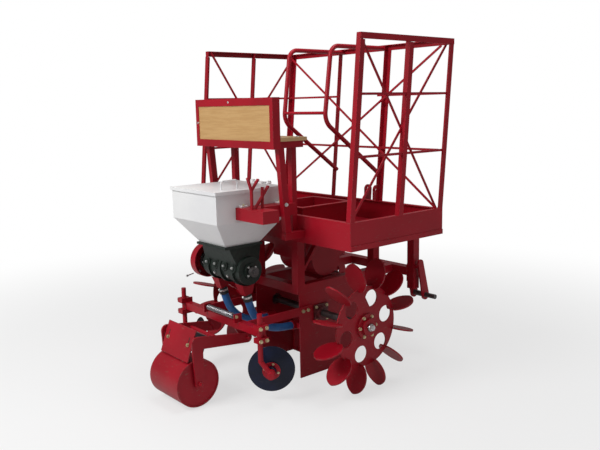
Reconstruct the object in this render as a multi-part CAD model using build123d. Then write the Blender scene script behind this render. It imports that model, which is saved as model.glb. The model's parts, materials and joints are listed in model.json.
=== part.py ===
from build123d import *
import math
import os

# Mounted sugarcane planter, in millimetres: X forward to the tractor, Y left, Z up, floor at Z 0.
# X is counted from the tray's front edge and moved at the end, so that the origin is the bottom centre.

# Shared values
seatGap = 0.3           # between pieces that rest on each other
pinGap = 0.05           # between a pin and its bore
sideSigns = (-1, 1)     # right, left

# Tray that carries the cane
trayLength = 700
trayHalf = 662
trayBase = 789
trayDepth = 141
trayRim = trayBase + trayDepth
sheet = 4
rimFlange = 25
lipHeight = 26
floorLevel = trayBase + 22.3

# Feed trough in the middle of the tray
troughRear = -560
troughFront = -220
troughHalf = 145
troughTop = trayRim + 16
troughFlange = 22
throatInset = 40
throatSide = 25
cutterInset = 20
cutterRadius = 105
cutterZ = trayBase - 149
chuteFloor = trayBase - 49

# Cane racks
rackTop = 1826
rackLean = 0.09         # forward run for each unit of height
postLeg = 30
postWall = 4
innerPost = 187
barSize = 12
barLevels = (1243, 1542)
hoopRadius = 12.5
hoopReach = -359
hoopElbowX = -414
hoopElbowZ = 1404
hoopFootZ = 1094
hoopTieZ = 1450

# Main frame
railHalf = 200
railSize = 50
railBase = 478
railRear = -650
railFront = 105
postPlaces = (-650, -60)

# Headstock for the tractor's three links
beamRear = 110
uprightInner = 315
uprightWidth = 50
uprightBase = 400
uprightTop = 770
lowerPinX = 182
lowerPinZ = 360
lowerPinRadius = 14
lowerPinReach = 72
earInner = 304
earOuter = 400
earThick = 10
earRound = 30
mastHeight = 610
topPinX = 140
topPinRadius = 12.75
mastHalf = 30
mastThick = 12

# Furrow opener
cheekOuter = 198
cheekThick = 6
cheekRear = -640
soleFront = -330
noseX = -40
noseZ = 150

# Ground wheels
wheelX = -490
wheelY = 552
lugRadius = 361
lugCount = 12
lugPhase = 15
lugHalf = 70
lugThick = 8
discRadius = 214
discThick = 8
holeCircle = 149
holeRadius = 45
axleRadius = 20
hubRadius = 44
hubFlange = 68
halfPitch = math.radians(180 / lugCount)
wheelZ = lugRadius * math.cos(halfPitch) + lugThick / 2 * math.sin(halfPitch)

# Seat
seatHalf = 342
backRear = -907
backDepth = 45
backBottom = 1283
backTop = 1535
seatTop = 1338
seatFront = -690
boardThick = 18
armHalf = 309
armTopX = -845
armTopZ = 1302
armFootX = -807
armFootZ = trayBase + 68
armFootDepth = 36
seatLegHalf = 251
tubeSize = 32

# Fertiliser hopper
hopperRear = -1160
hopperFront = -740
hopperHalf = 204
hopperTop = 1083
hopperEdge = 924
hopperWall = 3
outletRear = -1057
outletFront = -843
outletHalf = 120
outletZ = 790
lidSheet = 3
lidGap = 5
lidSkirt = 14
lidPinX = -731
lidPinZ = hopperTop + 8
lidLugDepth = 41
lidPinRadius = 4

# Beams beside the hopper, the right one with a wide rear end and forked brackets
sideBeamRear = -1047
wideBeamFront = -949
wideBeamOuter = 426
sideBeamBase = hopperEdge + 16
sideBeamDepth = 61
sideBeamTop = sideBeamBase + sideBeamDepth
cleatPlaces = (-1010, -780)
bracketBar = 16
bracketHalf = 315
bracketLines = [  # X, height over the beam's top, at the start and the end
    ((-1028, -4), (-1028, 99)),
    ((-1028, 91), (-1050, 154)),
    ((-1028, 91), (-985, 144)),
    ((-965, -4), (-962, 104)),
    ((-1014, -4), (-925, 106)),
]

# Metering unit and chain drive
meterX = -940
meterZ = 656
meterRadius = 74
meterHalf = 165
meterShaft = 12.5
ringRadius = 95
ringStart = 215
ringEnd = 262
caseStart = 230
caseRadius = 62

# Fertiliser hoses
hoseRadius = 21
hoseHalf = 110
hoseRoute = [(-930, 522), (-904, 417), (-835, 334), (-737, 287), (-630, 283)]  # X, Z
spoutTop = 596
bootLength = 60

# Tool bar, covering discs and press roller
barX = -1012
barZ = 385
toolBarSize = 40
toolBarHalf = 335
shankX = -1032
shankHalf = 354
shankRadius = 13
shankTop = 487
shankLow = 240
coverX = -966
coverHalf = 353
coverZ = 177
coverRadius = 120
coverDepth = 22
coverSheet = 4
coverToe = 50           # degrees that the dish's face is turned outwards from the rear
spindleRadius = 9
pivotX = -960
pivotZ = 300
pivotRadius = 10
forkHalf = 142
forkThick = 10
bendX = -1268
bendZ = 340
rollerX = -1263
rollerZ = 126
rollerRadius = 123
rollerHalf = 135
rollerAxle = 12
scraperTop = (-1257, 399)
scraperFoot = (-1316, 246)
scraperHalf = 129
springX = -1040
springZ = 432
springRadius = 15
springEnds = (-165, 115)

nodes = {}


def block(x0, x1, y0, y1, z0, z1):
    size = (abs(x1 - x0), abs(y1 - y0), abs(z1 - z0))
    return Pos((x0 + x1) / 2, (y0 + y1) / 2, (z0 + z1) / 2) * Box(*size)


def rod(start, end, radius):
    run = Vector(*end) - Vector(*start)
    plane = Plane(origin=start, z_dir=run)
    return extrude(plane * Circle(radius), amount=run.length)


def bar(start, end, width, height, side=(0, 1, 0)):
    """A rectangular bar, its width along side."""
    run = Vector(*end) - Vector(*start)
    plane = Plane(origin=start, x_dir=side, z_dir=run)
    return extrude(plane * Rectangle(width, height), amount=run.length)


def angle_bar(start, end, leg_a, leg_b, leg=postLeg, wall=postWall):
    """An angle iron whose outer corner runs from start to end, its legs along leg_a and leg_b."""
    run = Vector(*end) - Vector(*start)
    plane = Plane(origin=start, x_dir=leg_a, z_dir=run)
    turn = 1 if plane.y_dir.dot(Vector(*leg_b)) > 0 else -1
    corners = [(0, 0), (leg, 0), (leg, turn * wall), (wall, turn * wall), (wall, turn * leg), (0, turn * leg)]
    return extrude(plane * make_face(Polyline(*corners, close=True)), amount=run.length)


def across(x, z, y0, y1, radius):
    """A round bar along Y."""
    return rod((x, min(y0, y1), z), (x, max(y0, y1), z), radius)


def plate(outline, y0, y1):
    """A flat plate from an outline in X and Z, between two places across the machine."""
    face = make_face(Polyline(*[(x, min(y0, y1), z) for x, z in outline], close=True))
    return extrude(face, amount=abs(y1 - y0), dir=(0, 1, 0))


def link_plate(circles, y0, y1):
    """A plate that joins round ends, given as X, Z and radius, between two places across the machine."""
    plane = Plane(origin=(0, max(y0, y1), 0), x_dir=(1, 0, 0), z_dir=(0, -1, 0))
    with BuildSketch() as outline:
        for x, z, radius in circles:
            with Locations((x, z)):
                Circle(radius)
        make_hull()
    return extrude(plane * outline.sketch, amount=abs(y1 - y0))


def keep(name, *solids):
    """Gathers the separate solids of one node."""
    parts = []
    for solid in solids:
        parts += solid.solids()
    nodes[name] = Compound(children=parts) if len(parts) > 1 else parts[0]


def lean(z):
    """How far forward the racks stand at this height."""
    return rackLean * (z - trayRim)


# Tray
def tray_wall_side(sign):
    outer = trayHalf
    wall = block(-trayLength, 0, sign * (outer - sheet), sign * (outer - 2 * sheet), trayBase, trayRim)
    lip = block(-trayLength, 0, sign * outer, sign * (outer - sheet), trayBase, trayBase + lipHeight)
    rim = block(-trayLength, 0, sign * (outer - sheet), sign * (outer - rimFlange - sheet), trayRim - sheet, trayRim)
    return wall + lip + rim


def tray_wall_end(x, inward):
    half = trayHalf - 2 * sheet - seatGap
    rim_half = trayHalf - rimFlange - sheet - seatGap
    low_top = trayRim - sheet - seatGap
    wall = block(x, x + inward * sheet, -half, half, trayBase, low_top)
    rim = block(x, x + inward * rimFlange, -rim_half, rim_half, low_top - seatGap, trayRim)
    return wall + rim


keep(
    "tray_walls",
    tray_wall_side(-1),
    tray_wall_side(1),
    tray_wall_end(0, -1),
    tray_wall_end(-trayLength, 1),
)
floor_half = trayHalf - 2 * sheet - seatGap
floor_plate = block(-trayLength + sheet + seatGap, -sheet - seatGap, -floor_half, floor_half,
                    floorLevel, floorLevel + sheet)
throat_half = troughHalf - throatSide
throat = block(troughRear + throatInset, troughFront - throatInset, -throat_half, throat_half, 0, trayRim)
keep("tray_floor", floor_plate - throat)

# Feed trough: an open box with a turned-out flange
trough_base = floorLevel + sheet + seatGap
trough = block(troughRear, troughFront, -troughHalf, troughHalf, trough_base, troughTop)
trough += block(troughRear - troughFlange, troughFront + troughFlange, -troughHalf - troughFlange,
                troughHalf + troughFlange, troughTop - sheet, troughTop)
trough -= block(troughRear + sheet, troughFront - sheet, -troughHalf + sheet, troughHalf - sheet,
                trough_base + sheet, troughTop)
trough -= throat
keep("feed_trough", trough)

# Sett cutter's housing under the trough: a closed box on a round drum case
cutter_top = floorLevel - seatGap
cutter = block(troughRear + cutterInset, troughFront - cutterInset, -troughHalf, troughHalf, cutterZ, cutter_top)
cutter += across((troughRear + troughFront) / 2, cutterZ, -troughHalf, troughHalf, cutterRadius)
cutter -= block(troughRear + throatInset, troughFront - throatInset, -throat_half, throat_half, chuteFloor, cutter_top)
keep("cutter_housing", cutter)


below_rim = block(-2 * trayLength, trayLength, -2 * trayHalf, 2 * trayHalf, 0, trayRim + seatGap)


# Racks: posts and top rails of angle iron, thin bars and crossed braces between them
def side_rack(sign):
    y = sign * (trayHalf - sheet)
    inward = (0, -sign, 0)
    solids = []
    post_foot = trayRim - 4
    rail_z = rackTop
    post_top = rackTop - postLeg - seatGap
    places = [(-trayLength, (1, 0, 0)), (-trayLength / 2, (1, 0, 0)), (0, (-1, 0, 0))]
    for x, along in places:
        start = (x + lean(post_foot), y, post_foot)
        end = (x + lean(post_top), y, post_top)
        solids.append(angle_bar(start, end, along, inward) - below_rim)
    start = (-trayLength + lean(rail_z), y, rail_z)
    end = (lean(rail_z), y, rail_z)
    solids.append(angle_bar(start, end, inward, (0, 0, -1)))
    for level in barLevels:
        x0 = -trayLength + lean(level) + postWall + 2
        x1 = lean(level) - postWall - 2
        y_bar = y - sign * (postWall + seatGap + barSize / 2)
        solids.append(bar((x0, y_bar, level), (x1, y_bar, level), barSize, barSize))
    y_brace = y - sign * (postWall + 2 * seatGap + 1.5 * barSize)
    low = trayRim + 24
    high = post_top - 5
    for step, (x_low, x_high) in enumerate([(-trayLength + 40, -40), (-40, -trayLength + 40)]):
        y_line = y_brace - sign * step * (barSize / 2 + seatGap)
        solids.append(bar((x_low + lean(low), y_line, low), (x_high + lean(high), y_line, high),
                          barSize / 2, barSize))
    return solids


keep("rack_right", *side_rack(-1))
keep("rack_left", *side_rack(1))


def front_rack():
    """The middle posts, the rails between the corner posts, and the crossed braces."""
    solids = []
    post_foot = trayRim - 4
    post_top = rackTop - postLeg - seatGap
    for sign in sideSigns:
        y = sign * innerPost
        solids.append(angle_bar((lean(post_foot), y, post_foot), (lean(post_top), y, post_top),
                                (0, sign, 0), (-1, 0, 0)) - below_rim)
    half = trayHalf - sheet - postLeg - seatGap
    rail_x = lean(rackTop)
    solids.append(angle_bar((rail_x, -half, rackTop), (rail_x, half, rackTop), (0, 0, -1), (-1, 0, 0)))
    low_bar, high_bar = barLevels
    bar_runs = [(-half, half, low_bar), (-half, -innerPost + 24, high_bar), (innerPost - 24, half, high_bar)]
    for y0, y1, level in bar_runs:
        x = lean(level) - postLeg - seatGap - barSize / 2
        solids.append(bar((x, y0, level), (x, y1, level), barSize, barSize, (1, 0, 0)))
    low = trayRim + 24
    high = post_top - 5
    for step, sign in enumerate(sideSigns):
        setback = postLeg + barSize * 1.25 + (2 + step) * seatGap + step * barSize / 2
        solids.append(bar((lean(low) - setback, sign * (half - 12), low),
                          (lean(high) - setback, -sign * (half - 12), high), barSize, barSize / 2))
    return solids


keep("rack_front", *front_rack())


def guard_hoops():
    """Two bent tubes beside the way to the trough, tied by a cross bar."""
    solid = None
    top_x = lean(rackTop) - postWall - seatGap
    top_z = rackTop - postWall - seatGap - hoopRadius
    foot_x = lean(hoopFootZ) - postLeg / 3
    for sign in sideSigns:
        y = sign * (innerPost - hoopRadius - seatGap)
        points = [
            (top_x, y, top_z),
            (hoopReach, y, top_z),
            (hoopElbowX, y, hoopElbowZ),
            (foot_x, y, hoopFootZ),
        ]
        path = FilletPolyline(*points, radius=[60, 90])
        tube = sweep(Plane(origin=points[0], z_dir=(-1, 0, 0)) * Circle(hoopRadius), path=path)
        solid = tube if solid is None else solid + tube
    tie_x = hoopElbowX + (hoopTieZ - hoopElbowZ) * (hoopReach - hoopElbowX) / (rackTop - hoopElbowZ)
    half = innerPost - hoopRadius
    solid += across(tie_x, hoopTieZ, -half, half, hoopRadius * 0.7)
    return solid


keep("guard_hoops", guard_hoops())


# Main frame: two rails, posts up to the tray, cross members and gusset bars
def main_frame():
    solids = []
    inner = railHalf - railSize
    for sign in sideSigns:
        rail = block(railRear, railFront, sign * inner, sign * railHalf, railBase, railBase + railSize)
        for x in postPlaces:
            rail += block(x, x + railSize, sign * inner, sign * railHalf, railBase, trayBase - seatGap)
        brace_y = sign * (railHalf - railSize / 2)
        rail += bar((railRear + 40, brace_y, 590), (railRear + 190, brace_y, trayBase - 12), 30, 16)
        solids.append(rail)
    frame = solids[0]
    for solid in solids[1:]:
        frame += solid
    for x in (postPlaces[0], -330):
        frame += block(x, x + railSize, -inner, inner, railBase, railBase + railSize)
    for x in postPlaces:
        frame += block(x, x + railSize, -inner, inner, trayBase - railSize, trayBase - seatGap)
    return frame


keep("main_frame", main_frame())


# Headstock: uprights, two beams, ears for the lower pins and the mast for the top link
def headstock():
    rear = beamRear
    front = beamRear + railSize
    solid = block(railFront + seatGap, front, -uprightInner, uprightInner, railBase, railBase + railSize)
    solid += block(rear, front, -uprightInner, uprightInner, uprightTop - railSize, uprightTop)
    for sign in sideSigns:
        outer = sign * (uprightInner + uprightWidth)
        solid += block(rear, front, sign * uprightInner, outer, uprightBase, uprightTop)
        pin_end = (lowerPinX, lowerPinZ, earRound)
        for y, top in ((sign * earInner, uprightBase + 130), (sign * (earOuter - earThick), uprightBase + 160)):
            ear = link_plate([pin_end, (rear + 26, top, 22)], y, y + sign * earThick)
            solid += ear
        solid += block(rear + 6, rear + 46, outer, sign * (earOuter - earThick), uprightBase + 130, uprightBase + 142)
        solid += block(rear + 6, rear + 46, sign * (earInner + 1), sign * uprightInner, uprightBase + 40, uprightBase + 130)
        solid -= across(lowerPinX, lowerPinZ, sign * (earInner - 5), sign * (earOuter + 5), lowerPinRadius + 2 + pinGap)
    return solid


keep("headstock", headstock())

topPinZ = lowerPinZ + mastHeight


def mast():
    foot = uprightTop + seatGap
    plates = []
    for sign in sideSigns:
        y0 = sign * mastHalf
        y1 = sign * (mastHalf + mastThick)
        ear = link_plate([(topPinX, topPinZ, 28), (beamRear + 22, foot + 22, 22)], y0, y1)
        ear += block(beamRear, beamRear + railSize, y0, y1, foot, foot + 60)
        plates.append(ear - across(topPinX, topPinZ, -60, 60, topPinRadius))
    web = block(beamRear, beamRear + 8, -mastHalf, mastHalf, foot, foot + 90)
    return plates[0] + plates[1] + web


keep("top_link_mast", mast())


def lower_pins():
    solids = []
    for sign in sideSigns:
        inner = sign * (earInner - 12)
        outer = sign * earOuter
        pin = across(lowerPinX, lowerPinZ, inner, outer, lowerPinRadius + 2)
        pin += across(lowerPinX, lowerPinZ, outer, outer + sign * lowerPinReach, lowerPinRadius)
        solids.append(pin)
    return solids


keep("lower_link_pins", *lower_pins())


# Furrow opener: two cheeks and a pointed share between them
def opener_cheek(sign):
    top = railBase - seatGap
    outline = [
        (cheekRear, 0),
        (soleFront, 0),
        (noseX - 60, 110),
        (noseX, noseZ + 40),
        (noseX - 30, 260),
        (noseX - 150, top),
        (cheekRear, top),
    ]
    solid = plate(outline, sign * (cheekOuter - cheekThick), sign * cheekOuter)
    return solid - across(wheelX, wheelZ, sign * 150, sign * 250, axleRadius + 14)


keep("opener_cheeks", opener_cheek(-1), opener_cheek(1))


def opener_share():
    """A wedge that narrows to the front, open behind, with a flat sole."""
    half = cheekOuter - cheekThick - seatGap
    nose_half = 12
    floor_face = make_face(Polyline((soleFront - 40, -half, 0), (soleFront - 40, half, 0), (noseX - 60, nose_half, 0),
                                    (noseX - 60, -nose_half, 0), close=True))
    wedge = extrude(floor_face, amount=300, dir=(0, 0, 1))
    slope = plate([(soleFront, -1), (noseX, 120), (noseX + 60, -1)], -half, half)
    crown = plate([(soleFront - 40, 301), (soleFront - 40, 190), (noseX - 40, 301)], -half, half)
    inner_face = make_face(Polyline((soleFront - 50, -half + 8, 8), (soleFront - 50, half - 8, 8),
                                    (noseX - 110, nose_half, 8), (noseX - 110, -nose_half, 8), close=True))
    inner = extrude(inner_face, amount=300, dir=(0, 0, 1))
    return wedge - slope - inner


keep("opener_share", opener_share())


def axle_bearings():
    solids = []
    for sign in sideSigns:
        face = sign * (cheekOuter + seatGap)
        flange = block(wheelX - 50, wheelX + 50, face, face + sign * 12, wheelZ - 50, wheelZ + 50)
        boss = across(wheelX, wheelZ, face, face + sign * 28, 38)
        solids.append(flange + boss - across(wheelX, wheelZ, sign * 150, sign * 300, axleRadius + pinGap))
    return solids


keep("axle_bearings", *axle_bearings())


# Ground wheels: a disc with round holes and pointed paddle lugs that stand across it
def ground_wheel(sign):
    disc = across(wheelX, wheelZ, sign * wheelY - discThick / 2, sign * wheelY + discThick / 2, discRadius)
    for index in range(lugCount // 2):
        turn = math.radians(lugPhase + index * 720 / lugCount)
        x = wheelX + holeCircle * math.cos(turn)
        z = wheelZ + holeCircle * math.sin(turn)
        disc -= across(x, z, sign * wheelY - 20, sign * wheelY + 20, holeRadius)
    root = discRadius - 14
    for index in range(lugCount):
        turn = math.radians(lugPhase + index * 360 / lugCount)
        radial = (math.cos(turn), 0, math.sin(turn))
        tangent = (-math.sin(turn), 0, math.cos(turn))
        plane = Plane(origin=(wheelX, sign * wheelY, wheelZ), x_dir=radial, z_dir=tangent)
        edge_a = ThreePointArc((root, 26), (root + 86, lugHalf), (lugRadius, 3))
        edge_b = ThreePointArc((lugRadius, -3), (root + 86, -lugHalf), (root, -26))
        outline = edge_a + Line((lugRadius, 3), (lugRadius, -3)) + edge_b + Line((root, -26), (root, 26))
        leaf = extrude(plane * make_face(outline), amount=lugThick / 2, both=True)
        disc += leaf
    outer = sign * (wheelY + 34)
    inner = sign * (wheelY - 40)
    hub = across(wheelX, wheelZ, inner, outer, hubRadius)
    hub += across(wheelX, wheelZ, sign * (wheelY + discThick / 2), sign * (wheelY + discThick / 2 + 12), hubFlange)
    disc += hub
    return disc - across(wheelX, wheelZ, inner - sign, outer + sign, axleRadius)


keep("wheel_right", ground_wheel(-1))
keep("wheel_left", ground_wheel(1))
keep("axle", across(wheelX, wheelZ, -wheelY - 40, wheelY + 40, axleRadius))

# Seat: arms and legs from the tray, a back frame with a wooden board, and a wooden seat
seat_frame = None
for sign in sideSigns:
    beam = block(armFootX - 22, -trayLength - seatGap, sign * (armHalf - 18), sign * (armHalf + 18),
                 armFootZ - armFootDepth, armFootZ)
    arm = bar((armFootX, sign * armHalf, armFootZ - 10), (armTopX, sign * armHalf, armTopZ), 30, 36)
    leg_x = -trayLength - seatGap - tubeSize / 2
    leg = block(leg_x - tubeSize / 2, leg_x + tubeSize / 2, sign * (seatLegHalf - 16), sign * (seatLegHalf + 16),
                trayBase + 20, seatTop - boardThick - seatGap)
    rail = block(backRear + backDepth + seatGap, seatFront - 10, sign * (armHalf - 14), sign * (armHalf + 14),
                 seatTop - boardThick - 34, seatTop - boardThick - seatGap)
    seat_frame = beam if seat_frame is None else seat_frame + beam
    seat_frame += arm
    seat_frame += leg
    seat_frame += rail
under = seatTop - boardThick
seat_frame += block(leg_x - 16, leg_x + 16, -armHalf, armHalf, under - 30, under - seatGap)
keep("seat_frame", seat_frame)

back_front = backRear + backDepth
back_frame = block(backRear, back_front, -seatHalf, seatHalf, backBottom, backTop)
back_frame -= block(backRear + sheet, back_front + 1, -seatHalf + sheet, seatHalf - sheet,
                    backBottom + sheet, backTop - sheet)
back_frame -= block(backRear - 1, back_front, -seatHalf + 26, seatHalf - 26, backBottom + 38, backTop - 38)
keep("seat_back_frame", back_frame)
board_rear = backRear + sheet + seatGap
keep("seat_back_board", block(board_rear, board_rear + boardThick, -seatHalf + sheet + 1, seatHalf - sheet - 1,
                              backBottom + sheet + 1, backTop - sheet - 1))
keep("seat_board", block(back_front + 1, seatFront, -seatHalf, seatHalf, seatTop - boardThick, seatTop))


# Hopper: a box that narrows to its outlet
def hopper_body(inset):
    box = block(hopperRear + inset, hopperFront - inset, -hopperHalf + inset, hopperHalf - inset,
                hopperEdge, hopperTop + (1 if inset else 0))
    top_face = Pos((hopperRear + hopperFront) / 2, 0, hopperEdge) * Rectangle(
        hopperFront - hopperRear - 2 * inset, 2 * (hopperHalf - inset))
    low_face = Pos((outletRear + outletFront) / 2, 0, outletZ - (1 if inset else 0)) * Rectangle(
        outletFront - outletRear - 2 * inset, 2 * (outletHalf - inset))
    return box + loft([top_face, low_face])


hopper = hopper_body(0) - hopper_body(hopperWall)
cleat_base = sideBeamTop + seatGap
for x in cleatPlaces:
    for sign in sideSigns:
        hopper += block(x - 20, x + 20, sign * (hopperHalf - 1), sign * (hopperHalf + 30), cleat_base, cleat_base + 8)
for sign in sideSigns:
    hopper += block(hopperFront, lidPinX + 9, sign * 60, sign * 80, lidPinZ - lidLugDepth, lidPinZ + 8)
hopper -= across(lidPinX, lidPinZ, -100, 100, lidPinRadius + pinGap)
keep("hopper", hopper)

lid_front = hopperFront - 3
lid_half = hopperHalf + lidGap + lidSheet
lid_rear = hopperRear - lidGap - lidSheet
lid_base = hopperTop + seatGap
lid = block(lid_rear, lid_front, -lid_half, lid_half, lid_base, lid_base + lidSheet)
for sign in sideSigns:
    lid += block(lid_rear, lid_front, sign * lid_half, sign * (lid_half - lidSheet), lid_base - lidSkirt, lid_base + 1)
lid += block(lid_rear, lid_rear + lidSheet, -lid_half, lid_half, lid_base - lidSkirt, lid_base + 1)
lid += across(lidPinX, lidPinZ, -90, 90, lidPinRadius)
for sign in sideSigns:
    lid += block(lid_front - 20, lidPinX, sign * 20, sign * 50, lid_base + lidSheet - 1, lidPinZ + 2)
keep("hopper_lid", lid)

handle_y = -136
handle_z = lid_base + lidSheet + seatGap
handle_points = [(-1081, handle_y, handle_z), (-1081, handle_y, handle_z + 44), (-984, handle_y, handle_z + 44),
                 (-984, handle_y, handle_z)]
handle_path = FilletPolyline(*handle_points, radius=[14, 14])
keep("lid_handle", sweep(Plane(origin=handle_points[0], z_dir=(0, 0, 1)) * Circle(4), path=handle_path))

# Beams that carry the hopper
def side_beam(sign):
    inner = sign * (hopperHalf + seatGap)
    outer = sign * (armHalf - 15 - seatGap)
    front = -trayLength - 2 * seatGap - tubeSize
    return block(sideBeamRear, front, inner, outer, sideBeamBase, sideBeamTop)


right_beam = side_beam(-1)
right_beam += block(sideBeamRear, wideBeamFront, -hopperHalf - seatGap, -wideBeamOuter, sideBeamBase, sideBeamTop)
for (x_start, z_start), (x_end, z_end) in bracketLines:
    right_beam += bar((x_start, -bracketHalf, sideBeamTop + z_start), (x_end, -bracketHalf, sideBeamTop + z_end),
                      bracketBar, bracketBar / 2)
keep("hopper_beams", right_beam, side_beam(1))

# Metering unit under the hopper
meter = block(outletRear - 12, outletFront + 12, -outletHalf - 12, outletHalf + 12, outletZ - 12 - seatGap,
              outletZ - seatGap)
throat_top = Pos(meterX, 0, outletZ - 12) * Rectangle(200, 250)
throat_low = Pos(meterX, 0, meterZ + 20) * Rectangle(130, 300)
meter += loft([throat_top, throat_low])
meter += across(meterX, meterZ, -meterHalf, meterHalf, meterRadius)
for y in (-110, 0, 110):
    meter += across(meterX, meterZ, y - 10, y + 10, meterRadius + 10)
for sign in sideSigns:
    meter += across(meterX, meterZ, sign * meterHalf, sign * (meterHalf + 14), 40)
meter -= across(meterX, meterZ, -300, 300, meterShaft + pinGap)
keep("metering_unit", meter)

shaft = across(meterX, meterZ, -meterHalf - 46, ringEnd - 8, meterShaft)
shaft += across(meterX, meterZ, ringStart + 6, ringStart + 16, 52)
shaft += across(meterX, meterZ, -meterHalf - 40, -meterHalf - 20, 26)
keep("metering_shaft", shaft)

ring = across(meterX, meterZ, ringStart, ringEnd, ringRadius)
ring -= across(meterX, meterZ, ringStart - 1, ringEnd - 4, ringRadius - 4)
keep("ring_guard", ring)

chain_case = link_plate([(wheelX, wheelZ, caseRadius), (meterX + 60, meterZ - 40, caseRadius)], caseStart, ringEnd)
chain_case -= across(meterX, meterZ, caseStart - 1, ringEnd + 1, ringRadius + seatGap)
chain_case -= across(wheelX, wheelZ, caseStart - 1, ringEnd + 1, axleRadius + 6)
chain_case += across(-640, 500, railHalf + seatGap, caseStart, 12)
keep("chain_case", chain_case)

# Spouts, hoses and the boots that take the hoses in the opener
def route_run(start, end):
    return Vector(end[0] - start[0], 0, end[1] - start[1]).normalized()


first_run = route_run(hoseRoute[0], hoseRoute[1])
last_run = route_run(hoseRoute[-2], hoseRoute[-1])
spouts = []
for sign in sideSigns:
    top_face = Pos(meterX, sign * hoseHalf, spoutTop) * Rectangle(90, 70)
    mouth = Vector(hoseRoute[0][0], sign * hoseHalf, hoseRoute[0][1]) - first_run * seatGap
    low_face = Plane(origin=mouth, x_dir=(-first_run.Z, 0, first_run.X), z_dir=-first_run) * Rectangle(46, 46)
    spout = loft([top_face, low_face]) - across(meterX, meterZ, -300, 300, meterRadius + 10 + seatGap)
    spouts.append(spout)
keep("spouts", *spouts)


def hose(sign):
    points = [(x, sign * hoseHalf, z) for x, z in hoseRoute]
    radii = []
    for before, here, after in zip(points, points[1:], points[2:]):
        first = Vector(*here) - Vector(*before)
        second = Vector(*after) - Vector(*here)
        half_turn = math.radians(first.get_angle(second)) / 2
        radii.append(0.45 * min(first.length, second.length) / math.tan(half_turn))
    print("hose radii", [round(radius) for radius in radii])
    path = FilletPolyline(*points, radius=radii)
    print("hose length", round(path.length))
    start = Vector(*points[1]) - Vector(*points[0])
    return sweep(Plane(origin=points[0], z_dir=start) * Circle(hoseRadius), path=path)


keep("hose_right", hose(-1))
keep("hose_left", hose(1))

boots = []
end_x, end_z = hoseRoute[-1]
for sign in sideSigns:
    y = sign * hoseHalf
    hose_end = Vector(end_x, y, end_z)
    boot = rod(tuple(hose_end + last_run * seatGap), tuple(hose_end + last_run * bootLength), hoseRadius + 5)
    boot += block(end_x + 20, end_x + 40, y, sign * (cheekOuter - cheekThick - seatGap), end_z - 15, end_z + 15)
    boots.append(boot)
keep("hose_boots", *boots)

# Tool bar behind the opener, with drag arms and lugs
half_bar = toolBarSize / 2
tool_bar = block(barX - half_bar, barX + half_bar, -toolBarHalf, toolBarHalf, barZ - half_bar, barZ + half_bar)
for sign in sideSigns:
    inner = sign * (forkHalf - 12)
    lug = link_plate([(pivotX, pivotZ, 24), (barX + 2, barZ - half_bar - 2, 18)], inner, inner + sign * 10)
    tool_bar += lug
    tool_bar += across(pivotX, pivotZ, inner, sign * (forkHalf + forkThick + 8), pivotRadius)
for y in springEnds:
    tool_bar += block(springX - 14, barX + 5, y - 4, y + 4, barZ + half_bar - 6, springZ + 14)
keep("tool_bar", tool_bar)

arms = []
for sign in sideSigns:
    y0 = sign * (cheekOuter + seatGap)
    arms.append(block(barX + half_bar + seatGap, -560, y0, y0 + sign * 12, barZ - 22, barZ + 22))
keep("drag_arms", *arms)

clamps = []
for sign in sideSigns:
    y0 = sign * (toolBarHalf + seatGap)
    clamp = block(shankX - 6, barX + 24, y0, y0 + sign * 8, barZ - 45, barZ + 45)
    for z in (barZ - 32, barZ + 32):
        clamp += block(shankX - 26, barX + 14, y0, y0 + sign * 46, z - 13, z + 13)
    bore_y = sign * shankHalf
    clamp -= rod((shankX, bore_y, 200), (shankX, bore_y, 600), shankRadius + pinGap)
    clamps.append(clamp)
keep("disc_clamps", *clamps)


# Covering discs: dished, toed in, each on a spindle at the foot of its shank
def disc_axis(sign):
    toe = math.radians(coverToe)
    return Vector(-math.cos(toe), sign * math.sin(toe), 0)


def cover_point(sign, distance):
    centre = Vector(coverX, sign * coverHalf, coverZ)
    return centre + disc_axis(sign) * distance


shanks = []
for sign in sideSigns:
    foot = cover_point(sign, 60)
    top = (shankX, sign * shankHalf, shankTop)
    knee = (shankX, sign * shankHalf, shankLow)
    shank = rod(knee, top, shankRadius) + Pos(*knee) * Sphere(shankRadius)
    shank += rod(knee, tuple(foot), shankRadius)
    shank += rod(tuple(cover_point(sign, 44)), tuple(cover_point(sign, 72)), 24)
    shank += rod(tuple(cover_point(sign, 6)), tuple(cover_point(sign, 50)), spindleRadius)
    shanks.append(shank)
keep("disc_shanks", *shanks)


def cover_disc(sign):
    curve = (coverRadius ** 2 + coverDepth ** 2) / (2 * coverDepth)
    middle = Pos(0, 0, -curve)
    dish = middle * (Sphere(curve) - Sphere(curve - coverSheet))
    dish &= Pos(0, 0, -coverDepth / 2) * Cylinder(coverRadius, coverDepth + 2)
    hub = Pos(0, 0, 17) * Cylinder(26, 38) + Pos(0, 0, 1) * Cylinder(42, 10)
    solid = dish + hub - Pos(0, 0, 25) * Cylinder(spindleRadius + pinGap, 40)
    place = Plane(origin=tuple(cover_point(sign, 0)), z_dir=tuple(disc_axis(sign)))
    return place * solid


keep("disc_right", cover_disc(-1))
keep("disc_left", cover_disc(1))


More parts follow.
